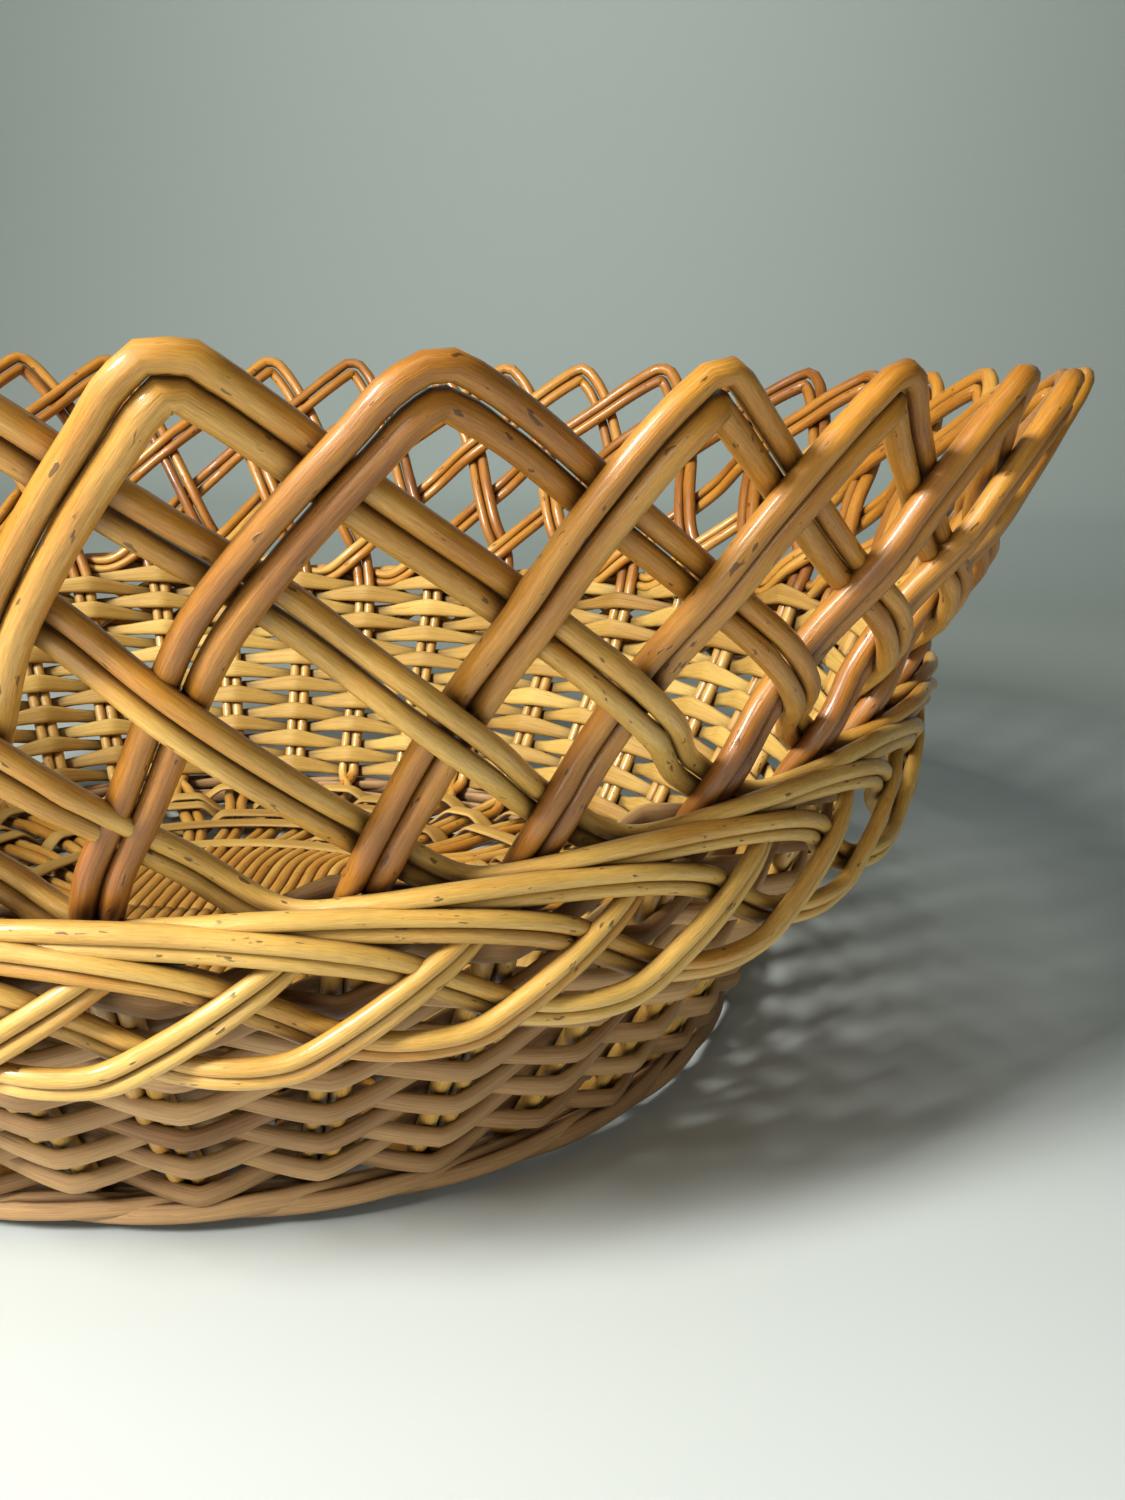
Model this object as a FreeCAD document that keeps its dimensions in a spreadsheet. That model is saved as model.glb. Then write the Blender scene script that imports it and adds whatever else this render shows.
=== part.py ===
import FreeCAD, Part
import math
import os

# Oval willow fruit basket.  Pairs of round stakes start in a cross in the middle of the floor, fan
# out to its edge, climb the flared side between flat split strips, arch over to the right as an
# open lattice border, and end in a plaited band round the outside of the side's top.
# Origin: centre of the foot's underside.  +X runs along the length, +Z up.

os.makedirs("parts", exist_ok=True)
doc = FreeCAD.newDocument("FruitBasket")
vec = FreeCAD.Vector

# ---------------------------------------------------------------- driving dimensions (mm)

dimensions = [
    ("pairCount", 40, "stake pairs round the basket"),
    ("ovalPower", 2.22, "power of the oval, 2 is an ellipse"),
    ("floorHalfLength", 106, "floor edge, half length"),
    ("floorHalfWidth", 95.5, "floor edge, half width"),
    ("bendHalfLength", 130, "where the side turns steeper, half length"),
    ("bendHalfWidth", 118.8, "where the side turns steeper, half width"),
    ("wallHalfLength", 137, "middle of the side at its top, half length"),
    ("wallHalfWidth", 125.4, "middle of the side at its top, half width"),
    ("rimHalfLength", 160, "crest of the arches, half length"),
    ("rimHalfWidth", 148, "crest of the arches, half width"),
    ("floorLevel", 5.2, "height of the middle of the floor"),
    ("bendLevel", 45, "height where the side turns steeper, on the long sides"),
    ("wallLevel", 62, "height of the woven side on the long sides"),
    ("endRise", 14, "how much higher the woven side is at the two ends"),
    ("rimLevel", 123, "height of the arches' crest"),
    ("stakeDiameter", 2.8, "stakes, up to the end of the lattice"),
    ("tipDiameter", 2.2, "stakes' thin ends in the plaited band"),
    ("pairGap", 3.0, "between the two stakes of a pair"),
    ("crestGap", 4.4, "between the two stakes of a pair on top of the arch"),
    ("stripHeight", 3.8, "side weaver strips"),
    ("stripThickness", 1.5, "side weaver strips"),
    ("stripRows", 15, "rows of side weavers"),
    ("crossSpacing", 2.9, "between stakes lying side by side in the floor's cross"),
    ("floorStripWidth", 4.6, "floor weavers"),
    ("floorStripThickness", 1.4, "floor weavers"),
    ("footHeight", 3.7, "foot strand"),
    ("footWidth", 4.2, "foot strand"),
    ("upsettHeight", 3.6, "strand outside the floor's edge"),
]

sheet = doc.addObject("Spreadsheet::Sheet", "Sizes")
for line, (alias, value, note) in enumerate(dimensions, start=1):
    sheet.set(f"A{line}", note)
    sheet.set(f"B{line}", str(value))
    sheet.setAlias(f"B{line}", alias)
doc.recompute()


def size(alias):
    return float(sheet.get(alias))


pairCount = int(size("pairCount"))
power = size("ovalPower")
pairGap = size("pairGap")
crestGap = size("crestGap")
tipGap = size("tipDiameter") + 0.1

# ---------------------------------------------------------------- the basket's surface
# A place on the basket is (turn, level, out): turn counts stake pairs round the oval from +X,
# level runs 0 at the floor's edge, 1 at the top of the woven side and 2 at the arches' crest,
# out is the distance outside the middle of the side.

# Each ring: level, half length, half width, height on the long sides, rise at the two ends.
RINGS = [
    (0.0, size("floorHalfLength"), size("floorHalfWidth"), size("floorLevel"), 0.0),
    (0.7, size("bendHalfLength"), size("bendHalfWidth"), size("bendLevel"), 0.7 * size("endRise")),
    (1.0, size("wallHalfLength"), size("wallHalfWidth"), size("wallLevel"), size("endRise")),
    (2.0, size("rimHalfLength"), size("rimHalfWidth"), size("rimLevel"), 0.0),
]


def ovalPoint(halfLength, halfWidth, angle):
    c = math.cos(angle)
    s = math.sin(angle)
    x = halfLength * math.copysign(abs(c) ** (2 / power), c)
    y = halfWidth * math.copysign(abs(s) ** (2 / power), s)
    return x, y


def evenAngles(halfLength, halfWidth, steps):
    """Angles that cut the oval into stretches of equal length."""
    fine = 3600
    lengths = [0.0]
    last = ovalPoint(halfLength, halfWidth, 0.0)
    for i in range(1, fine + 1):
        here = ovalPoint(halfLength, halfWidth, 2 * math.pi * i / fine)
        lengths.append(lengths[-1] + math.dist(last, here))
        last = here
    angles = []
    i = 0
    for step in range(steps + 1):
        target = lengths[-1] * step / steps
        while i < fine - 1 and lengths[i + 1] < target:
            i += 1
        share = (target - lengths[i]) / (lengths[i + 1] - lengths[i])
        angles.append(2 * math.pi * (i + share) / fine)
    return angles


STEPS_PER_PAIR = 24
FIRST_PAIR = 0.8
ANGLES = evenAngles(size("wallHalfLength"), size("wallHalfWidth"), pairCount * STEPS_PER_PAIR)


def angleAt(turn):
    """The oval's angle at a turn; the first pair stands at turn 0.5, a little before +X."""
    whole, rest = divmod((turn - FIRST_PAIR) * STEPS_PER_PAIR, pairCount * STEPS_PER_PAIR)
    i = int(rest)
    share = rest - i
    inside = ANGLES[i] * (1 - share) + ANGLES[i + 1] * share
    return inside + 2 * math.pi * whole


def surfacePoint(turn, level, out=0.0):
    low, high = next(pair for pair in zip(RINGS, RINGS[1:]) if level < pair[1][0] or pair[1] is RINGS[-1])
    share = (level - low[0]) / (high[0] - low[0])
    halfLength, halfWidth, height, rise = [a + (b - a) * share for a, b in zip(low[1:], high[1:])]
    angle = angleAt(turn)
    x, y = ovalPoint(halfLength + out, halfWidth + out, angle)
    return vec(x, y, height + rise * math.cos(angle) ** 2)


def scales(turn, level):
    """Millimetres per turn and per level at a place on the surface."""
    small = 0.02
    along = surfacePoint(turn + small, level).sub(surfacePoint(turn - small, level)).Length
    up = surfacePoint(turn, level + small).sub(surfacePoint(turn, level - small)).Length
    return along / (2 * small), up / (2 * small)


def floorPoint(turn, share, z):
    """A place on the floor, share of the way from the centre to the floor's edge."""
    edge = surfacePoint(turn, 0.0)
    return vec(edge.x * share, edge.y * share, z)


# ---------------------------------------------------------------- rods

def cornerArc(before, corner, after):
    """Start, middle and end of the arc that rounds a corner and touches both its runs."""
    wayIn = corner.sub(before)
    wayOut = after.sub(corner)
    reach = 0.45 * min(wayIn.Length, wayOut.Length)
    wayIn.normalize()
    wayOut.normalize()
    turn = wayIn.getAngle(wayOut)
    if turn < 0.002:
        return None
    depth = reach * math.tan(turn / 4)
    middle = corner.add(wayOut.sub(wayIn).normalize().multiply(depth))
    return corner.sub(wayIn.multiply(reach)), middle, corner.add(wayOut.multiply(reach))


def tangentWire(points):
    """Straight runs joined by arcs whose middles lie on the points."""
    corners = [vec(point) for point in points]
    for _ in range(8):
        for i in range(1, len(points) - 1):
            arc = cornerArc(corners[i - 1], corners[i], corners[i + 1])
            if arc:
                corners[i] = corners[i].add(points[i].sub(arc[1]))
    edges = []
    start = corners[0]
    for before, corner, after in zip(corners, corners[1:], corners[2:]):
        arc = cornerArc(before, corner, after)
        if arc:
            edges.append(Part.LineSegment(start, arc[0]).toShape())
            edges.append(Part.Arc(*arc).toShape())
            start = arc[2]
    edges.append(Part.LineSegment(start, corners[-1]).toShape())
    return Part.Wire(edges)


def addRod(name, points, diameterCell):
    """A round rod along the points; its diameter is a cell of the sheet."""
    spine = doc.addObject("Part::Feature", name + "Spine")
    spine.Shape = tangentWire(points)
    profile = doc.addObject("Part::Circle", name + "Section")
    profile.setExpression("Radius", f"Sizes.{diameterCell} / 2")
    aim = FreeCAD.Rotation(vec(0, 0, 1), points[1].sub(points[0]))
    profile.Placement = FreeCAD.Placement(points[0], aim)
    rod = doc.addObject("Part::Sweep", name)
    rod.Sections = [profile]
    rod.Spine = (spine, [f"Edge{i + 1}" for i in range(len(spine.Shape.Edges))])
    rod.Solid = True
    rod.Frenet = False
    return rod


# The line of a stake pair: (turns past its own place, level, out, gap between its two rods).
# Up the side, then the right-leaning leg, the arch, and the long descending leg, which passes
# behind two neighbours' legs, before the third and behind the fourth.

OVER = size("stakeDiameter") / 2 + 0.5
stakeLine = [
    (0.00, 0.10, 0.0, pairGap),
    (0.00, 0.55, 0.0, pairGap),
    (0.00, 0.97, 0.0, pairGap),
    (0.12, 1.14, OVER, pairGap),
    (0.29, 1.35, -OVER, pairGap),
    (0.59, 1.62, OVER, pairGap),
    (0.93, 1.83, OVER, pairGap + 0.4),
    (1.11, 1.95, 0.8, crestGap),
    (1.30, 2.00, 0.0, crestGap),
    (1.51, 1.95, -0.8, crestGap),
    (1.93, 1.83, -OVER, pairGap + 0.4),
    (2.59, 1.62, -OVER, pairGap),
    (3.29, 1.35, OVER, pairGap),
    (4.12, 1.14, -OVER, pairGap),
    (4.75, 1.00, 1.6, pairGap),
]

# The thin ends: along the top of the band, under two neighbours, along its bottom edge, up over
# those two and in under the next.
tipLine = [
    (4.75, 1.00, 1.6, pairGap),
    (5.10, 1.01, 3.8, tipGap),
    (5.55, 1.015, 5.0, tipGap),
    (6.20, 0.99, 5.8, tipGap),
    (6.75, 0.95, 7.1, tipGap),
    (7.20, 0.886, 7.2, tipGap),
    (7.60, 0.79, 7.0, tipGap),
    (8.00, 0.712, 9.2, tipGap),
    (8.35, 0.695, 11.4, tipGap),
    (8.70, 0.70, 11.7, tipGap),
    (9.00, 0.755, 10.8, tipGap),
    (9.32, 0.83, 9.3, tipGap),
    (9.58, 0.89, 7.2, tipGap),
    (9.80, 0.94, 4.4, tipGap),
    (9.98, 0.975, 3.4, tipGap),
]


def besideLine(line, place, side):
    """Points of one rod of a pair: half the gap to the left (+1) or right (-1) of the line."""
    points = []
    for i, (turns, level, out, gap) in enumerate(line):
        before = line[max(i - 1, 0)]
        after = line[min(i + 1, len(line) - 1)]
        along, up = scales(place + turns, level)
        run = (after[0] - before[0]) * along
        rise = (after[1] - before[1]) * up
        length = math.hypot(run, rise)
        shift = side * gap / 2 / length
        points.append(surfacePoint(place + turns - rise * shift / along, level + run * shift / up, out))
    return points


ARM_PAIRS = pairCount // 4


def floorPart(place, side):
    """From the butt in the middle of the floor, along one arm of the cross, to the floor's edge."""
    arm = int((place + ARM_PAIRS / 2) // ARM_PAIRS)
    middle = arm * ARM_PAIRS
    spacing = size("crossSpacing")
    across = ((place - middle) * 2 + side * 0.5) * spacing
    quarters = arm % 4
    ahead = vec(round(math.cos(quarters * math.pi / 2)), round(math.sin(quarters * math.pi / 2)), 0)
    left = vec(-ahead.y, ahead.x, 0)
    layer = size("floorLevel") + (spacing / 2 if quarters % 2 else -spacing / 2)
    along, _ = scales(place, 0.0)
    points = []
    for reach in (1.0, ARM_PAIRS * spacing + 1.0):
        points.append(vec(ahead).multiply(reach).add(vec(left).multiply(across)).add(vec(0, 0, layer)))
    for share in (0.62, 0.97):
        turn = place + side * pairGap / 2 / along / share
        points.append(floorPoint(turn, share, size("floorLevel")))
    return points


def addStakePair(number):
    place = number + 0.5
    rods = []
    for side, word in ((1, "Outer"), (-1, "Inner")):
        name = f"Pair{number + 1:02d}{word}"
        upper = besideLine(stakeLine, place, side)
        lower = besideLine(tipLine, place, side)
        lower[0] = upper[-1]
        thick = addRod(name + "Stake", floorPart(place, side) + upper, "stakeDiameter")
        thin = addRod(name + "Tip", lower, "tipDiameter")
        whole = doc.addObject("Part::MultiFuse", name)
        whole.Shapes = [thick, thin]
        rods.append(whole)
    pair = doc.addObject("Part::Compound", f"StakePair{number + 1:02d}")
    pair.Links = rods
    pair.Label = f"stake_pair_{number + 1:02d}"
    return pair


# ---------------------------------------------------------------- strips

def addStrip(name, label, stations, width, thickness):
    """A flat strip through stations of (centre, direction of its width, of its thickness).

    Its surface is made of flat triangles, two between each pair of neighbouring corners.
    """
    rings = []
    for centre, across, through in stations:
        w = vec(across).normalize().multiply(width / 2)
        n = vec(through).normalize().multiply(thickness / 2)
        rings.append([centre.add(w).add(n), centre.add(w).sub(n), centre.sub(w).sub(n), centre.sub(w).add(n)])
    triangles = []
    for ring, following in zip(rings, rings[1:]):
        for i in range(4):
            j = (i + 1) % 4
            triangles += [(ring[i], ring[j], following[j]), (ring[i], following[j], following[i])]
    for ring in (rings[0], rings[-1]):
        triangles += [(ring[0], ring[1], ring[2]), (ring[0], ring[2], ring[3])]
    faces = [Part.Face(Part.makePolygon([a, b, c, a])) for a, b, c in triangles]
    shell = Part.makeShell(faces)
    shell.sewShape()
    solid = Part.makeSolid(shell)
    if solid.Volume < 0:
        solid.reverse()
    strip = doc.addObject("Part::Feature", name)
    strip.Shape = solid
    strip.Label = label
    return strip


END_GAP = 0.02
LOWEST_ROW = 0.075
HIGHEST_ROW = 0.965


def addSideRow(row):
    """One row of the side: outside one pair, inside the next, all round."""
    rows = int(size("stripRows"))
    level = LOWEST_ROW + (HIGHEST_ROW - LOWEST_ROW) * row / (rows - 1)
    clear = (size("stakeDiameter") + size("stripThickness")) / 2 + 0.15
    places = [(END_GAP, 0)]
    for pair in range(pairCount):
        side = 1 if (pair + row) % 2 else -1
        places += [(pair + 0.33, side), (pair + 0.67, side)]
    places.append((pairCount - END_GAP, 0))
    stations = []
    for turn, side in places:
        centre = surfacePoint(turn, level, side * clear)
        up = surfacePoint(turn, level + 0.01).sub(surfacePoint(turn, level - 0.01))
        outward = surfacePoint(turn, level, 1.0).sub(surfacePoint(turn, level, 0.0))
        stations.append((centre, up, outward))
    return addStrip(f"SideRow{row + 1:02d}", f"side_row_{row + 1:02d}", stations,
                    size("stripHeight"), size("stripThickness"))


def addFloorRound(name, share, groups, half, phase):
    """One round of the floor: over one group of stake pairs, under the next."""
    clear = (size("stakeDiameter") + size("floorStripThickness")) / 2 + 0.1
    perGroup = pairCount / groups
    first = -ARM_PAIRS / 2
    stations = [(first + END_GAP, 0)]
    for group in range(groups):
        middle = first + (group + 0.5) * perGroup
        side = 1 if (group + phase) % 2 else -1
        steps = max(1, int(2 * half))
        for i in range(steps + 1):
            stations.append((middle - half + 2 * half * i / steps, side))
    stations.append((first + pairCount - END_GAP, 0))
    frames = []
    for turn, side in stations:
        centre = floorPoint(turn, share, size("floorLevel") + side * clear)
        frames.append((centre, vec(centre.x, centre.y, 0), vec(0, 0, 1)))
    return addStrip(name, name, frames, size("floorStripWidth"), size("floorStripThickness"))


# ---------------------------------------------------------------- foot and upsett

def ovalEdge(outside, z):
    """A smooth closed oval, outside mm beyond the floor's edge."""
    points = []
    for i in range(72):
        x, y = ovalPoint(RINGS[0][1] + outside, RINGS[0][2] + outside, ANGLES[i * len(ANGLES) // 72])
        points.append(vec(x, y, z))
    curve = Part.BSplineCurve()
    curve.interpolate(Points=points, PeriodicFlag=True)
    return Part.Wire([curve.toShape()])


def addOvalBand(name, label, inside, outside, z, heightCell):
    face = doc.addObject("Part::Feature", name + "Outline")
    face.Shape = Part.makeFace([ovalEdge(outside, z), ovalEdge(inside, z)], "Part::FaceMakerBullseye")
    band = doc.addObject("Part::Extrusion", name)
    band.Base = face
    band.DirMode = "Custom"
    band.Dir = vec(0, 0, 1)
    band.Solid = True
    band.setExpression("LengthFwd", f"Sizes.{heightCell}")
    band.Label = label
    return band


# ---------------------------------------------------------------- assembly

pieces = [addStakePair(i) for i in range(pairCount)]
pieces += [addSideRow(i) for i in range(int(size("stripRows")))]
floorPlan = {
    "floor_weave_inner": [(0.43, 4, 4.72, 0), (0.50, 8, 2.33, 1), (0.58, 8, 2.33, 0)],
    "floor_weave_middle": [(0.66, 20, 0.76, 1), (0.74, 20, 0.76, 0)],
    "floor_weave_outer": [(0.82, 40, 0.30, 1), (0.90, 40, 0.30, 0)],
}
for label, rounds in floorPlan.items():
    name = label.title().replace("_", "")
    weave = doc.addObject("Part::Compound", name)
    weave.Links = [addFloorRound(f"{name}Round{i}", *plan) for i, plan in enumerate(rounds, start=1)]
    weave.Label = label
    pieces.append(weave)
footWidth = size("footWidth")
pieces.append(addOvalBand("Foot", "foot_strand", -footWidth, 0.0, 0.0, "footHeight"))
pieces.append(addOvalBand("Upsett", "upsett_strand", 2.2, 4.4, 2.6, "upsettHeight"))

doc.recompute()

broken = []
for thing in doc.Objects:
    if "Invalid" in thing.State or "Error" in thing.State:
        broken.append(f"{thing.Name}: {thing.State}")
for piece in pieces:
    if piece.Shape.isNull() or not piece.Shape.isValid():
        broken.append(f"{piece.Label}: shape not valid")
if broken:
    raise RuntimeError("; ".join(broken[:12]))

for piece in pieces:
    piece.Shape.exportStep(f"parts/{piece.Label}.step")

box = pieces[0].Shape.BoundBox
for piece in pieces[1:]:
    box.add(piece.Shape.BoundBox)
print(len(pieces), "nodes,", sum(len(piece.Shape.Solids) for piece in pieces), "solids")
print(f"overall {box.XLength:.1f} x {box.YLength:.1f} x {box.ZLength:.1f}, lowest {box.ZMin:.2f}")
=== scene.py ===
import bpy
import math
import numpy as np
from mathutils import Matrix, Vector


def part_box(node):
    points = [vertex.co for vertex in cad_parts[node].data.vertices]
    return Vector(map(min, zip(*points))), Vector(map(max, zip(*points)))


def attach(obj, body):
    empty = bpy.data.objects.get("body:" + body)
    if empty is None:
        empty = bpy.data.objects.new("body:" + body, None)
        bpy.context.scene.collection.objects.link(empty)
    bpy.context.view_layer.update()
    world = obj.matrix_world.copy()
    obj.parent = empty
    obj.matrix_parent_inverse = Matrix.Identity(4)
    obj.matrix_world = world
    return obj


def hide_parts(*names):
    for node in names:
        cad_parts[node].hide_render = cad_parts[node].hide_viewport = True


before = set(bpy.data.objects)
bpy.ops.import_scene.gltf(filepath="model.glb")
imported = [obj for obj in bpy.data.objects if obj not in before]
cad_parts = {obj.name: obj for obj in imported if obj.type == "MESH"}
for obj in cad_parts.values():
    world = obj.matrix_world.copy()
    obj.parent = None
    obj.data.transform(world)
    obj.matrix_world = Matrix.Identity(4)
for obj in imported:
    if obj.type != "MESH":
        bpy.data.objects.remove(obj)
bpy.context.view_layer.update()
bpy.ops.object.select_all(action="DESELECT")
mm = 0.001          # every length below is in millimetres until a mesh is written
rng = np.random.default_rng(11)

# A place on the basket is a turn, in stake pairs counted round from near +X, and a level: 0 the
# floor's edge, 1 the top of the woven side, 2 the crest of the arches.

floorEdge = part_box("foot_strand")[1]
basket = {
    "pairs": 40,
    "ovalPower": 2.22,
    "levels": [0, 0.7, 1, 2],
    "halfLength": [floorEdge.x / mm, 130.0, 137.0, 160.0],
    "halfWidth": [floorEdge.y / mm, 118.8, 125.4, 148.0],
    "height": [5.2, 45.0, 62.0, 123.0],
    "endRise": [0.0, 9.8, 14.0, 0.0],
    "firstPair": 0.3,       # how far before +X the first pair stands, in turns
}
floorHeight = basket["height"][0]
perTurn = 20       # a turn's length round the side, near enough for slow wobbles


def oval(halfLength, halfWidth, angle):
    c, s = np.cos(angle), np.sin(angle)
    x = halfLength * np.sign(c) * np.abs(c) ** (2 / basket["ovalPower"])
    y = halfWidth * np.sign(s) * np.abs(s) ** (2 / basket["ovalPower"])
    return x, y


fineAngle = np.linspace(0, 2 * math.pi, 7201)
fineX, fineY = oval(basket["halfLength"][2], basket["halfWidth"][2], fineAngle)
edgeWalked = np.concatenate([[0], np.cumsum(np.hypot(np.diff(fineX), np.diff(fineY)))])
fineTurn = edgeWalked / edgeWalked[-1] * basket["pairs"]


def surface(turn, level, out=0.0):
    turn, level, out = np.broadcast_arrays(np.asarray(turn, float), level, out)
    angle = np.interp((turn - basket["firstPair"]) % basket["pairs"], fineTurn, fineAngle)
    keys = ("halfLength", "halfWidth", "height", "endRise")
    at = {key: np.interp(level, basket["levels"], basket[key]) for key in keys}
    x, y = oval(at["halfLength"] + out, at["halfWidth"] + out, angle)
    return np.stack([x, y, at["height"] + at["endRise"] * np.cos(angle) ** 2], -1)


def unit(v):
    return v / np.maximum(np.linalg.norm(v, axis=-1, keepdims=True), 1e-9)


def outward(turn, level):      # the side's own normal, away from the bowl
    around = surface(turn + 0.01, level) - surface(turn - 0.01, level)
    up = surface(turn, level + 0.01) - surface(turn, level - 0.01)
    return unit(np.cross(around, up))


def lengths(points):
    return np.concatenate([[0], np.cumsum(np.linalg.norm(np.diff(points, axis=0), axis=1))])


def smoothKeys(keys, weights, step):       # a smooth run through rows of numbers
    keys = np.array(keys, float)
    gone = lengths(keys[:, :3] * weights)
    slope = np.gradient(keys, gone, axis=0)
    at = np.linspace(0, gone[-1], int(gone[-1] / step) + 2)
    i = np.clip(np.searchsorted(gone, at, side="right") - 1, 0, len(gone) - 2)
    h = (gone[i + 1] - gone[i])[:, None]
    t = (at - gone[i])[:, None] / h
    return ((2 * t**3 - 3 * t**2 + 1) * keys[i] + (t**3 - 2 * t**2 + t) * h * slope[i]
            + (3 * t**2 - 2 * t**3) * keys[i + 1] + (t**3 - t**2) * h * slope[i + 1])


def wander(along, size, reach):       # a slow random wobble
    a, b, c = rng.uniform(0, 6.28, 3)
    waves = np.sin(along / reach + a) + 0.6 * np.sin(1.7 * along / reach + b)
    return size * (waves + 0.4 * np.sin(3.1 * along / reach + c)) / 1.4


def carriedSides(points, first):       # a side direction carried along a line without twisting
    ahead = unit(np.gradient(points, axis=0))
    sides = np.zeros_like(points)
    side = np.array(first, float)
    for i, t in enumerate(ahead):
        side = side - t * side.dot(t)
        side = side / np.linalg.norm(side)
        sides[i] = side
    return ahead, sides


class Weave:       # collects rods and strips, then becomes one object
    def __init__(self, name):
        self.name = name
        self.verts, self.faces = [], []
        self.marks = {"grain": [], "tone": [], "stain": [], "inner": []}
        self.count = 0

    def add(self, rings, grain, tone, stain, inner):       # rings is (stations, corners, 3)
        stations, corners = rings.shape[:2]
        i, j = np.meshgrid(np.arange(stations - 1), np.arange(corners), indexing="ij")
        k = (j + 1) % corners
        here, ahead = i * corners, (i + 1) * corners
        quads = np.stack([here + j, here + k, ahead + k, ahead + j], -1)
        self.faces += (quads.reshape(-1, 4) + self.count).tolist()
        self.faces.append([self.count + corners - 1 - c for c in range(corners)])
        self.faces.append([self.count + (stations - 1) * corners + c for c in range(corners)])
        self.verts.append(rings.reshape(-1, 3))
        self.marks["grain"].append(grain.reshape(-1, 3))
        for key, value in (("tone", tone), ("stain", stain), ("inner", inner)):
            self.marks[key].append(np.broadcast_to(value, (stations, corners)).reshape(-1))
        self.count += stations * corners

    def finish(self, material, slot, *nodes):
        mesh = bpy.data.meshes.new(self.name)
        mesh.from_pydata((np.concatenate(self.verts) * mm).tolist(), [], self.faces)
        for key, values in self.marks.items():
            kind, field = ("FLOAT_VECTOR", "vector") if key == "grain" else ("FLOAT", "value")
            layer = mesh.attributes.new(key, kind, "POINT")
            layer.data.foreach_set(field, np.concatenate(values).ravel())
        mesh.materials.append(material)
        mesh.polygons.foreach_set("use_smooth", [True] * len(mesh.polygons))
        mesh.update()
        piece = bpy.data.objects.new(self.name, mesh)
        bpy.context.scene.collection.objects.link(piece)
        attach(piece, "root")
        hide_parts(*nodes)


rod = {"corners": 12, "step": 1.5, "knotEvery": 46.0, "knotSize": 0.11}


def addRod(weave, points, radius, tone, stain, flat):
    along = lengths(points)
    ahead, side = carriedSides(points, (0, 0, 1))
    other = np.cross(ahead, side)
    phi = np.linspace(0, 2 * math.pi, rod["corners"], endpoint=False)
    radius = radius * (1 + wander(along, 0.035, 17.0))
    swell = np.ones((len(points), rod["corners"]))
    knot = rng.uniform(8, rod["knotEvery"])
    while knot < along[-1]:       # buds, each facing its own way
        facing = rng.uniform(0, 2 * math.pi)
        bump = rng.uniform(0.4, 1.0) * rod["knotSize"] * np.exp(-((along - knot) / 1.7) ** 2)
        swell += bump[:, None] * (0.35 + np.clip(np.cos(phi - facing), 0, 1) ** 2)[None, :]
        knot += rod["knotEvery"] * rng.uniform(0.6, 1.4)
    r = radius[:, None] * swell
    r[0] *= 0.86
    r[-1] *= 0.86
    cx, cy = np.cos(phi)[None, :, None], np.sin(phi)[None, :, None]
    rings = points[:, None] + r[..., None] * (cx * side[:, None] + flat * cy * other[:, None])
    shift = rng.uniform(-300, 300, 3)
    grain = np.stack([r * np.cos(phi), r * np.sin(phi), np.broadcast_to(along[:, None], r.shape)], -1) + shift
    tone, stain = (value[:, None] if np.ndim(value) else value for value in (tone, stain))
    weave.add(rings, grain, tone, stain, 0.0)


def addStrip(weave, centres, across, through, width, thickness, dome, tone):
    along = lengths(centres)
    profile = []       # round the strip: outer face, then the inner face back
    for w in np.linspace(-0.5, 0.5, 7):
        profile.append((w * 0.98, 0.5 + dome * (1 - (2 * w) ** 2) - (0.35 if abs(w) > 0.49 else 0)))
    for w in np.linspace(0.5, -0.5, 7):
        profile.append((w, -0.5 + (0.3 if abs(w) > 0.49 else 0)))
    profile = np.array(profile)
    width = np.broadcast_to(width, along.shape)
    u = profile[None, :, 0] * width[:, None]
    v = np.broadcast_to(profile[None, :, 1] * thickness, u.shape)
    rings = centres[:, None] + u[..., None] * across[:, None] + v[..., None] * through[:, None]
    shift = rng.uniform(-300, 300, 3)
    grain = np.stack([u, v, np.broadcast_to(along[:, None], u.shape)], -1) + shift
    inner = (profile[:, 1] < 0).astype(float)[None, :]
    weave.add(rings[:, ::-1], grain[:, ::-1], tone[:, None], 0.0, inner[:, ::-1])


def node(tree, kind, inputs=None, **settings):
    made = tree.nodes.new(kind)
    for key, value in settings.items():
        setattr(made, key, value)
    for key, value in (inputs or {}).items():
        if hasattr(value, "is_output"):
            tree.links.new(value, made.inputs[key])
        else:
            made.inputs[key].default_value = value
    return made


def readMark(tree, name, socket="Fac"):
    return node(tree, "ShaderNodeAttribute", attribute_name=name).outputs[socket]


def noiseOn(tree, vector, scale, detail, rough=0.55):
    moved = node(tree, "ShaderNodeMapping", {"Vector": vector, "Scale": scale})
    inputs = {"Vector": moved.outputs[0], "Scale": 1.0, "Detail": detail, "Roughness": rough}
    return node(tree, "ShaderNodeTexNoise", inputs).outputs["Fac"]


def sums(tree, kind, a, b, c=0.0):
    return node(tree, "ShaderNodeMath", {0: a, 1: b, 2: c}, operation=kind).outputs[0]


def ramp(tree, value, stops):
    made = node(tree, "ShaderNodeValToRGB", {"Fac": value})
    made.color_ramp.interpolation = "LINEAR"
    while len(made.color_ramp.elements) < len(stops):
        made.color_ramp.elements.new(0.5)
    for element, (position, colour) in zip(made.color_ramp.elements, stops):
        element.position = position
        element.color = (*colour, 1)
    return made.outputs["Color"]


def mixed(tree, amount, a, b, kind="MIX"):
    made = node(tree, "ShaderNodeMix", data_type="RGBA", blend_type=kind)
    for key, value in ((0, amount), (6, a), (7, b)):
        if hasattr(value, "is_output"):
            tree.links.new(value, made.inputs[key])
        else:
            made.inputs[key].default_value = (*value, 1) if isinstance(value, tuple) else value
    return made.outputs[2]


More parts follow.
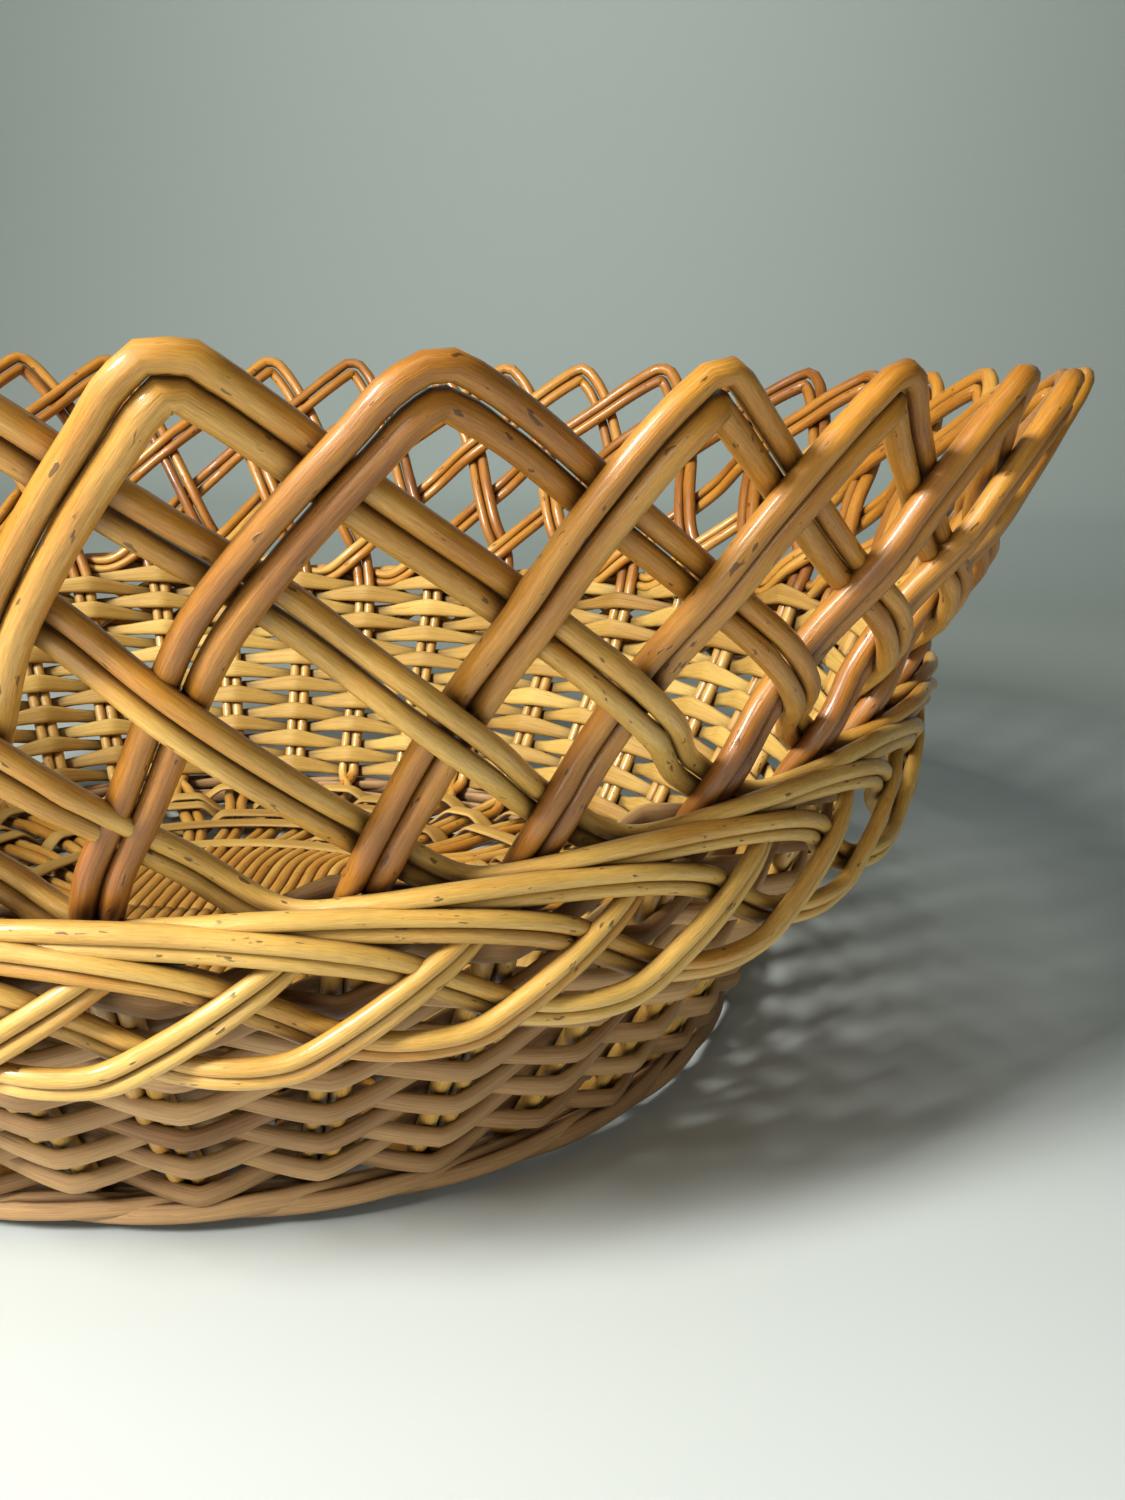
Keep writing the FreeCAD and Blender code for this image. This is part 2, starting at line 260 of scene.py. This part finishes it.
def newMaterial(name):
    material = bpy.data.materials.new(name)
    material.use_nodes = True
    tree = material.node_tree
    return material, tree, tree.nodes["Principled BSDF"]


def roughFrom(tree, shader, grain, lowest, highest):
    inputs = {"Value": grain, "From Min": 0.3, "From Max": 0.7, "To Min": lowest, "To Max": highest}
    made = node(tree, "ShaderNodeMapRange", inputs)
    tree.links.new(made.outputs[0], shader.inputs["Roughness"])


def bumpFrom(tree, shader, height, strength):
    made = node(tree, "ShaderNodeBump", {"Height": height, "Strength": strength, "Distance": 0.0003})
    tree.links.new(made.outputs[0], shader.inputs["Normal"])


def paintedCreviceShade(tree, wood, colour, amount):       # painted shade: colour darkened where pieces meet and hide each other from the light
    hidden = node(tree, "ShaderNodeAmbientOcclusion", {"Distance": 0.006}, samples=4).outputs["AO"]
    shadeMask = ramp(tree, hidden, [(0.22, (1, 1, 1)), (0.80, (0, 0, 0))])
    return mixed(tree, sums(tree, "MULTIPLY", shadeMask, amount), wood, colour)


rodLook = {
    "pale": (0.80, 0.50, 0.12),
    "honey": (0.60, 0.265, 0.028),
    "amber": (0.36, 0.13, 0.014),
    "dark": (0.12, 0.036, 0.007),
    "red": (0.30, 0.105, 0.014),
    "speck": (0.06, 0.022, 0.009),
    # painted shade colour where the rods meet other pieces
    "creviceShade": (0.06, 0.016, 0.004),
    "coat": 0.4,
    "rough": (0.28, 0.52),
    "bump": 0.45,
}


def makeRodMaterial(name, look):
    material, tree, shader = newMaterial(name)
    grain = readMark(tree, "grain", "Vector")
    streaks = noiseOn(tree, grain, (2.6, 2.6, 0.09), 6.0, 0.65)
    patches = noiseOn(tree, grain, (0.16, 0.16, 0.035), 3.0)
    fine = noiseOn(tree, grain, (7.0, 7.0, 0.5), 3.0)
    tone = sums(tree, "MULTIPLY_ADD", patches, 1.15, readMark(tree, "tone"))
    tone = sums(tree, "MULTIPLY_ADD", streaks, 0.60, tone)
    tone = sums(tree, "SUBTRACT", tone, 0.875)
    shades = zip((0.0, 0.42, 0.78, 1.0), (look["pale"], look["honey"], look["amber"], look["dark"]))
    wood = ramp(tree, tone, list(shades))
    stain = sums(tree, "MULTIPLY", readMark(tree, "stain"), sums(tree, "MULTIPLY_ADD", patches, 1.4, 0.1))
    wood = mixed(tree, stain, wood, look["red"])
    flecks = noiseOn(tree, grain, (0.9, 0.9, 0.33), 2.0)       # bark left in small flecks
    fleckMask = ramp(tree, flecks, [(0.0, (0, 0, 0)), (0.675, (0, 0, 0)), (0.72, (1, 1, 1))])
    wood = mixed(tree, sums(tree, "MULTIPLY", fleckMask, 0.75), wood, look["speck"])
    darkGrain = ramp(tree, fine, [(0.3, (0.55, 0.5, 0.45)), (0.62, (1, 1, 1))])
    wood = mixed(tree, 0.55, wood, darkGrain, "MULTIPLY")
    # painted shade darkens the rods where they meet other pieces
    wood = paintedCreviceShade(tree, wood, look["creviceShade"], 0.85)
    tree.links.new(wood, shader.inputs["Base Color"])
    roughFrom(tree, shader, streaks, *look["rough"])
    shader.inputs["Coat Weight"].default_value = look["coat"]
    shader.inputs["Coat Roughness"].default_value = 0.16
    shader.inputs["Specular IOR Level"].default_value = 0.5
    height = sums(tree, "MULTIPLY_ADD", fine, 0.35, sums(tree, "ADD", streaks, fleckMask))
    bumpFrom(tree, shader, height, look["bump"])
    return material


stripLook = {
    "outPale": (0.70, 0.43, 0.19),
    "outDark": (0.25, 0.115, 0.04),
    "inPale": (0.84, 0.57, 0.15),
    "inDark": (0.33, 0.16, 0.03),
    "fibre": (0.12, 0.05, 0.018),
    # painted shade colour where the strips meet other pieces
    "creviceShade": (0.035, 0.013, 0.005),
    "rough": (0.45, 0.7),
    "bump": 0.35,
}


def makeStripMaterial(name, look):
    material, tree, shader = newMaterial(name)
    grain = readMark(tree, "grain", "Vector")
    fibres = noiseOn(tree, grain, (3.2, 3.2, 0.05), 7.0, 0.7)
    patches = noiseOn(tree, grain, (0.10, 0.10, 0.03), 2.0)
    fine = noiseOn(tree, grain, (9.0, 9.0, 0.25), 3.0)
    tone = sums(tree, "MULTIPLY_ADD", patches, 1.0, readMark(tree, "tone"))
    tone = sums(tree, "SUBTRACT", sums(tree, "MULTIPLY_ADD", fibres, 1.3, tone), 1.15)
    outside = ramp(tree, tone, [(0.0, look["outPale"]), (1.0, look["outDark"])])
    inside = ramp(tree, tone, [(0.0, look["inPale"]), (1.0, look["inDark"])])
    wood = mixed(tree, readMark(tree, "inner"), outside, inside)
    lines = ramp(tree, fibres, [(0.0, (1, 1, 1)), (0.33, (1, 1, 1)), (0.38, (0, 0, 0))])
    wood = mixed(tree, sums(tree, "MULTIPLY", lines, 0.75), wood, look["fibre"])
    darkGrain = ramp(tree, fine, [(0.3, (0.6, 0.6, 0.6)), (0.7, (1, 1, 1))])
    wood = mixed(tree, 0.6, wood, darkGrain, "MULTIPLY")
    # painted shade darkens the strips where they meet other pieces
    wood = paintedCreviceShade(tree, wood, look["creviceShade"], 0.85)
    tree.links.new(wood, shader.inputs["Base Color"])
    roughFrom(tree, shader, fibres, *look["rough"])
    shader.inputs["Specular IOR Level"].default_value = 0.4
    height = sums(tree, "MULTIPLY_ADD", fine, 0.4, fibres)
    bumpFrom(tree, shader, height, look["bump"])
    return material


varnishedRod = makeRodMaterial("varnishedRod", rodLook)
splitStrip = makeStripMaterial("splitStrip", stripLook)
print("materials ready")

stakes = {
    "spacing": 2.9,       # from one rod's line to the next where four arms cross in the floor
    "gap": 3.0,
    "armReach": (0.1, 15.0),
    "armLift": 1.45,      # how far the crossing arms part, up and down
    "floorShares": (0.62, 0.80, 0.955),
    "thicken": 1.10,
    "crestKey": 12,       # the row of stakeKeys at the arch's crest
}
steep = 1.0       # how far the steep leg leaves the lattice surface at a crossing
long = 2.2        # and the long leg, which has more room to bend
# Rows of turns past the pair's own foot, level, out, gap between its two rods, radius.
# In the lattice and at the tail ends these leave the CAD's own line, by measured amounts.
stakeKeys = [
    (0.00, 0.06, 0.0, 3.0, 1.40),
    (0.00, 0.30, 0.0, 3.0, 1.42),
    (0.00, 0.70, 0.0, 3.0, 1.42),
    (0.02, 0.97, 0.2, 3.1, 1.45),
    (0.13, 1.12, steep, 3.3, 1.50),
    (0.33, 1.27, -steep, 3.3, 1.50),
    (0.52, 1.43, -steep, 3.3, 1.49),
    (0.74, 1.62, steep, 3.3, 1.47),
    (0.90, 1.74, steep, 3.3, 1.46),
    (1.02, 1.82, steep, 3.3, 1.45),
    (1.17, 1.91, 0.8, 3.3, 1.44),
    (1.28, 1.965, 0.6, 3.4, 1.44),
    (1.39, 2.00, 0.0, 3.5, 1.43),
    (1.50, 1.975, -0.6, 3.4, 1.42),
    (1.66, 1.93, -1.5, 3.3, 1.41),
    (2.02, 1.82, -long, 3.2, 1.39),
    (2.74, 1.62, -long, 3.1, 1.35),
    (3.22, 1.46, long, 3.0, 1.32),
    (3.60, 1.33, long, 2.9, 1.30),
    (4.18, 1.13, -long, 2.8, 1.26),
    (4.75, 1.00, 1.6, 2.7, 1.23),
    (5.10, 1.01, 3.8, 2.5, 1.21),
    (5.55, 1.015, 5.0, 2.45, 1.20),
    (6.20, 0.99, 5.8, 2.4, 1.18),
    (6.75, 0.95, 7.1, 2.4, 1.16),
    (7.20, 0.886, 7.2, 2.35, 1.15),
    (7.60, 0.79, 7.0, 2.35, 1.14),
    (8.00, 0.712, 9.2, 2.3, 1.13),
    (8.35, 0.695, 11.4, 2.3, 1.12),
    (8.70, 0.70, 11.7, 2.3, 1.11),
    (9.00, 0.755, 10.8, 2.3, 1.10),
    (9.32, 0.83, 9.3, 2.3, 1.09),
    (9.58, 0.89, 7.2, 2.25, 1.08),
    (9.80, 0.94, 4.4, 2.2, 1.07),
    (9.98, 0.98, 3.4, 2.2, 1.06),
    (10.25, 1.04, 2.6, 2.2, 1.04),
]
# How far these pairs' feet, counted from 0, stand off their even place, in turns.
footShift = {31: -0.16, 32: -0.34, 33: 0.05, 34: 0.02, 35: 0.24, 36: 0.22}


def floorPath(pair, side):
    quarter = basket["pairs"] // 4
    middle = pair + 0.5
    arm = int((middle + quarter / 2) // quarter)
    across = ((middle - arm * quarter) * 2 + side * 0.5) * stakes["spacing"]
    angle = arm * math.pi / 2
    ahead = np.array([math.cos(angle), math.sin(angle), 0])
    left = np.array([-ahead[1], ahead[0], 0])
    lift = np.array([0, 0, floorHeight + (stakes["armLift"] if arm % 2 else -stakes["armLift"])])
    reaches = (*stakes["armReach"], quarter * stakes["spacing"] + 1)
    points = [ahead * reach + left * across + lift for reach in reaches]
    for share in stakes["floorShares"]:
        pitch = np.linalg.norm(surface(pair + 0.5, 0.0) - surface(pair - 0.5, 0.0))
        point = surface(pair + side * stakes["gap"] / 2 / pitch / share, 0.0) * share
        point[2] = floorHeight
        points.append(point)
    return points


for pair in range(basket["pairs"]):
    weave = Weave(f"stakePair{pair + 1:02d}")
    keys = np.array(stakeKeys)
    keys[:, 0] += pair
    foot = footShift.get(pair, rng.uniform(-0.09, 0.09))       # no two feet stand quite evenly
    place = np.arange(len(keys)) - stakes["crestKey"]
    rising = np.interp(keys[:, 1], [0, 0.3, 1.0, 1.6, 1.9], [0.2, 0.6, 1.0, 1.0, 0.5])
    keys[:, 0] += foot * rising * (place < 0)
    keys[:, 0] += foot * np.interp(place, [0, 4], [0.4, 0.0]) * (place >= 0)
    crest = rng.uniform(-1, 1, 3)
    bell = np.exp(-(place / 2.0) ** 2)
    keys[:, 0] += 0.035 * crest[0] * bell
    keys[:, 1] += 0.012 * crest[1] * bell
    keys[place > 3, 1] += rng.uniform(-0.008, 0.008)
    keys[place > 9, 2] += rng.uniform(-0.3, 0.3)
    line = smoothKeys(keys, [21.0, 62.0, 1.0], rod["step"])
    turn, level, out, gap, radius = line.T
    centre = surface(turn, level, out)
    along = lengths(centre)
    ahead = unit(np.gradient(centre, axis=0))
    away = outward(turn, np.clip(level, 0.02, 1.98))
    left = np.cross(away, ahead)
    share = along / along[-1]
    farSide = 0.5 - 0.5 * math.cos((pair - 31) / basket["pairs"] * 2 * math.pi)
    rightEnd = max(0, math.cos(pair / basket["pairs"] * 2 * math.pi))
    pairTone = rng.uniform(0.24, 0.48) + 0.16 * farSide + 0.12 * rightEnd       # both darker: the far side and the +X end
    for side in (1, -1):
        ends = len(along) - int(rng.uniform(0, 9) / rod["step"]) - (2 if side > 0 else 0)
        spread = side * gap / 2 + wander(along, 0.10, 23.0)
        points = centre + left * spread[:, None] + away * wander(along, 0.18, 19.0)[:, None]
        floorPart = smoothKeys(floorPath(pair, side) + [points[0], points[2], points[4]], [1, 1, 1], 3.0)
        cut = np.argmin(np.linalg.norm(floorPart - points[0], axis=1))
        points = np.concatenate([floorPart[:cut], points[:ends]])
        missing = len(points) - ends
        pad = lambda values: np.concatenate([np.full(missing, values[0]), values[:ends]])
        tone = pairTone + rng.uniform(-0.10, 0.10) - 0.34 * np.clip((share - 0.50) / 0.12, 0, 1)
        climbing = share < 0.4       # darker where the rods leave the band, pale inside the weave
        tone = tone + 0.18 * np.exp(-((level - 1.12) / 0.16) ** 2) * climbing
        tone = tone - (pairTone - 0.05) * np.clip((1.0 - level) / 0.08, 0, 1) * climbing
        stain = 0.75 * np.exp(-((level - 1.10) / 0.15) ** 2) * climbing * rng.uniform(0.5, 1.0)
        patch = np.clip(rng.uniform(-0.5, 0.6), 0, 1)
        stain = stain + patch * np.exp(-((share - rng.uniform(0.3, 0.9)) / 0.05) ** 2)
        tone = pad(tone) + np.where(np.arange(len(points)) < missing, 0.25, 0)
        thick = pad(radius) * stakes["thicken"] * rng.uniform(0.95, 1.05)
        addRod(weave, points, thick, tone, pad(stain), rng.uniform(0.93, 1.0))
    weave.finish(varnishedRod, "varnished_willow", f"stake_pair_{pair + 1:02d}")
print("stake pairs ready")

sideStrips = {
    "rows": 15,
    "lowest": 0.075,
    "highest": 0.965,
    "width": 3.55,
    "thickness": 1.5,
    "dome": 0.3,
    "swing": 3.4,
    "sag": 0.029,
    "lean": 10.0,
    "perPair": 16,
}
for row in range(sideStrips["rows"]):
    climb = sideStrips["highest"] - sideStrips["lowest"]
    level = sideStrips["lowest"] + climb * row / (sideStrips["rows"] - 1)
    turn = np.linspace(0.5, basket["pairs"] + 0.49, basket["pairs"] * sideStrips["perPair"])
    phase = (turn + row) % 2       # 0 or 2 outside a pair, 1 inside the next
    pointed = np.where(phase > 1, 2 * phase - 3, 1 - 2 * phase)
    swing = 0.72 * pointed + 0.28 * np.sin(math.pi / 2 * pointed)
    lift = wander(turn * perTurn, 0.007, 26.0) - sideStrips["sag"] * swing
    centre = surface(turn, level + lift, sideStrips["swing"] * swing)
    normal = outward(turn, np.full_like(turn, level))
    ahead = unit(np.gradient(centre, axis=0))
    through = unit(normal - ahead * np.sum(normal * ahead, axis=1, keepdims=True))
    across = np.cross(ahead, through)
    across = across * np.sign(across[:, 2:3])
    lean = math.radians(sideStrips["lean"]) + wander(turn * perTurn, 0.06, 35.0)
    upper = across * np.cos(lean)[:, None] - through * np.sin(lean)[:, None]
    face = through * np.cos(lean)[:, None] + across * np.sin(lean)[:, None]
    weave = Weave(f"sideRow{row + 1:02d}")
    wider = 1 + wander(turn * perTurn, 0.09, 22.0) + 0.40 * np.clip(-swing, 0, 1)
    width = sideStrips["width"] * wider
    tone = rng.uniform(0.25, 0.65) + wander(turn * perTurn, 0.16, 40.0)
    thickness, dome = sideStrips["thickness"], sideStrips["dome"]
    addStrip(weave, centre, upper, face, width, thickness, dome, tone)
    weave.finish(splitStrip, "split_willow", f"side_row_{row + 1:02d}")
print("side weavers ready")

floorStrips = {"width": 5.0, "thickness": 1.1, "dome": 0.1, "rise": 2.35, "start": -5.5, "end": 34.48}
# Each round's share of the way out, its groups of stakes, and 0 if it passes under the first or 1 if over.
floorPlan = {
    "floor_weave_inner": [(0.43, 4, 0), (0.50, 8, 1), (0.58, 8, 0)],
    "floor_weave_middle": [(0.66, 20, 1), (0.74, 20, 0)],
    "floor_weave_outer": [(0.82, 40, 1), (0.90, 40, 0)],
}
for label, rounds in floorPlan.items():
    weave = Weave(label.title().replace("_", ""))
    for share, groups, phase in rounds:
        wide = basket["pairs"] / groups
        turn = np.linspace(floorStrips["start"], floorStrips["end"], 620)
        passed = (turn - floorStrips["start"]) / wide
        inGroup = passed % 1.0
        group = np.floor(passed).astype(int)
        sign = np.where((group + phase) % 2, 1.0, -1.0)
        edge = np.minimum(inGroup, 1 - inGroup) * wide
        ease = np.sin(np.clip(edge / min(0.3, wide / 2), 0, 1) * math.pi / 2)
        centre = surface(turn, 0.0) * share
        centre[:, 2] = floorHeight + sign * ease * floorStrips["rise"] + wander(turn * perTurn / 2, 0.1, 20.0)
        ahead = unit(np.gradient(centre, axis=0))
        across = unit(centre * [1, 1, 0])
        through = unit(np.cross(across, ahead))
        tone = rng.uniform(0.4, 0.7) + wander(turn * perTurn, 0.1, 60.0)
        width, thickness, dome = (floorStrips[key] for key in ("width", "thickness", "dome"))
        addStrip(weave, centre, -across, -through, width, thickness, dome, tone)
    weave.finish(splitStrip, "split_willow", label)
print("floor weavers ready")

footStrands = {"strands": 3, "pitch": 4.0, "radius": 1.6, "swing": 1.2, "perTurn": 16, "flat": 0.5}
# Each strand's height, and how far it stands out past the floor's edge.
strandPlan = {"foot_strand": (1.9, -1.8), "upsett_strand": (4.6, 3.1)}
for label, (height, out) in strandPlan.items():
    weave = Weave(label.split("_")[0] + "Strand")
    for strand in range(footStrands["strands"]):
        start = strand * 0.7
        turn = np.linspace(start, basket["pairs"] + start - 0.02, 900)
        walked = turn * footStrands["perTurn"]
        twist = 2 * math.pi * (turn / footStrands["pitch"] + strand / footStrands["strands"])
        reach = out + footStrands["swing"] * np.cos(twist)
        centre = surface(turn, 0.0, reach)
        centre[:, 2] = height + footStrands["swing"] * 0.55 * np.sin(twist) + wander(walked, 0.08, 30.0)
        centre[:, 2] = np.maximum(centre[:, 2], 1.2 * footStrands["radius"])
        radius = footStrands["radius"] * (1 + wander(walked, 0.1, 40.0))
        addRod(weave, centre, radius, rng.uniform(0.3, 0.55), 0.0, footStrands["flat"])
    weave.finish(splitStrip, "split_willow", label)
print("foot ready")

sweep = {       # in metres
    "width": 6.0,
    "front": -2.5,
    "back": 0.9,
    "bend": 0.5,
    "bendSteps": 12,
    "height": 2.2,
    # painted shade: the paper is painted paler near the camera and darker further back, standing in for the
    # lamps' falloff
    "near": (0.64, 0.71, 0.72),
    "farShade": (0.29, 0.335, 0.315),
    "wall": (0.50, 0.57, 0.54),
}
outline = [(sweep["front"], 0.0), (sweep["back"], 0.0)]
for i in range(1, sweep["bendSteps"] + 1):
    a = i / sweep["bendSteps"] * math.pi / 2
    outline.append((sweep["back"] + sweep["bend"] * math.sin(a), sweep["bend"] * (1 - math.cos(a))))
outline.append((sweep["back"] + sweep["bend"], sweep["height"]))
verts = [(x * sweep["width"] / 2, y, z) for y, z in outline for x in (-1, 1)]
faces = [(2 * i, 2 * i + 1, 2 * i + 3, 2 * i + 2) for i in range(len(outline) - 1)]
mesh = bpy.data.meshes.new("paperSweep")
mesh.from_pydata(verts, [], faces)
mesh.polygons.foreach_set("use_smooth", [True] * len(faces))
paper, tree, shader = newMaterial("palePaper")
coordinates = node(tree, "ShaderNodeTexCoord").outputs["Object"]
parts = node(tree, "ShaderNodeSeparateXYZ", {"Vector": coordinates})
# painted shade along the paper: pale at the front, darkest from y 0.27 m to 0.47 m, then the wall's tone
depth = sums(tree, "MULTIPLY_ADD", parts.outputs["Y"], 0.6, 0.2)
shades = [(0.12, sweep["near"]), (0.36, sweep["farShade"]), (0.48, sweep["farShade"]), (0.80, sweep["wall"])]
paintedFalloff = ramp(tree, depth, shades)
tree.links.new(paintedFalloff, shader.inputs["Base Color"])
shader.inputs["Roughness"].default_value = 0.8
mesh.materials.append(paper)
paperSweep = bpy.data.objects.new("paperSweep", mesh)
bpy.context.scene.collection.objects.link(paperSweep)

lights = {       # in metres and watts
    "key": {
        "at": (-0.50, -0.54, 0.57),
        "aim": (0, 0, 0.05),
        "size": 0.20,
        "power": 14.5,
        "colour": (1.0, 0.96, 0.89),
    },
    "top": {
        "at": (0.05, -0.35, 0.85),
        "aim": (0, -0.1, 0.0),
        "size": 0.4,
        "power": 0.7,
        "colour": (0.97, 1.0, 0.98),
    },
    "fill": {
        "at": (-0.10, -0.75, 0.20),
        "aim": (0, 0, 0.05),
        "size": 0.25,
        "power": 1.0,
        "colour": (1.0, 0.93, 0.82),
    },
    "back": {
        "at": (0.0, 0.45, 0.95),
        "aim": (-0.12, 1.4, 0.35),
        "size": 0.4,
        "power": 4.0,
        "colour": (0.95, 1.0, 0.99),
    },
}
for name, light in lights.items():
    data = bpy.data.lights.new(name, "AREA")
    data.size = light["size"]
    data.energy = light["power"]
    data.color = light["colour"]
    lamp = bpy.data.objects.new(name, data)
    lamp.location = light["at"]
    lamp.rotation_mode = "QUATERNION"
    lamp.rotation_quaternion = (Vector(light["aim"]) - lamp.location).to_track_quat("-Z", "Y")
    bpy.context.scene.collection.objects.link(lamp)

world = bpy.data.worlds.new("studio")
world.use_nodes = True
world.node_tree.nodes["Background"].inputs[0].default_value = (0.80, 0.82, 0.80, 1)
world.node_tree.nodes["Background"].inputs[1].default_value = 0.05
bpy.context.scene.world = world
bpy.context.scene.view_settings.view_transform = "Standard"

view = {"at": (0.0897, -0.2498, 0.1242), "yaw": -0.062, "pitch": 0.296, "roll": 0.021, "lens": 30.0}
yaw, pitch, roll = view["yaw"], view["pitch"], view["roll"]
forward = Vector((math.sin(yaw) * math.cos(pitch), math.cos(yaw) * math.cos(pitch), -math.sin(pitch)))
sideways = Vector((math.cos(yaw), -math.sin(yaw), 0))
right = sideways * math.cos(roll) + sideways.cross(forward) * math.sin(roll)
camera = bpy.data.objects.new("camera", bpy.data.cameras.new("camera"))
camera.data.lens = view["lens"]
camera.data.clip_start = 0.01
axes = Matrix((right, right.cross(forward), -forward)).transposed()
camera.matrix_world = Matrix.Translation(view["at"]) @ axes.to_4x4()
bpy.context.scene.collection.objects.link(camera)
bpy.context.scene.camera = camera

print("scene ready")
